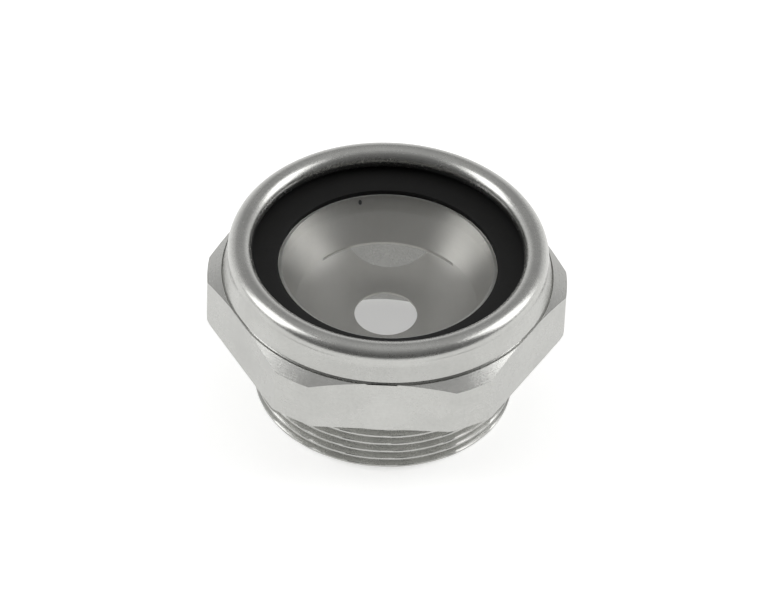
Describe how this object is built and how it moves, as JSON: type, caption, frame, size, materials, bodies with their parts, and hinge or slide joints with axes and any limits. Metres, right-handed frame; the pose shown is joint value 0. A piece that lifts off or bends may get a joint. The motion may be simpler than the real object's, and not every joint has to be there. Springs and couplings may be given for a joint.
{
  "type": "tank level gauge",
  "caption": "Screw-in aluminium hexagon sight glass for a tank wall, with a round window, black seals and a pressed reflector dish that shows the oil level.",
  "frame": {"origin": "centre of the seat face, the underside of the hexagon, where the threaded shank starts", "axes": "+Z is the viewing side along the thread axis, -Z points into the tank, -Y is square to one hexagon flat, +X points at a hexagon corner"},
  "size_m": [0.082, 0.075, 0.0428],
  "materials": {
    "body_aluminium": "turned, satin",
    "gasket_rubber": "matte black",
    "reflector_sheet": "pressed sheet, satin",
    "window_glass": "clear, polished"
  },
  "bodies": {
    "root": {"body": "body_aluminium", "rear_gasket": "gasket_rubber", "reflector": "reflector_sheet", "sight_glass": "window_glass", "front_gasket": "gasket_rubber"}
  },
  "joints": []
}
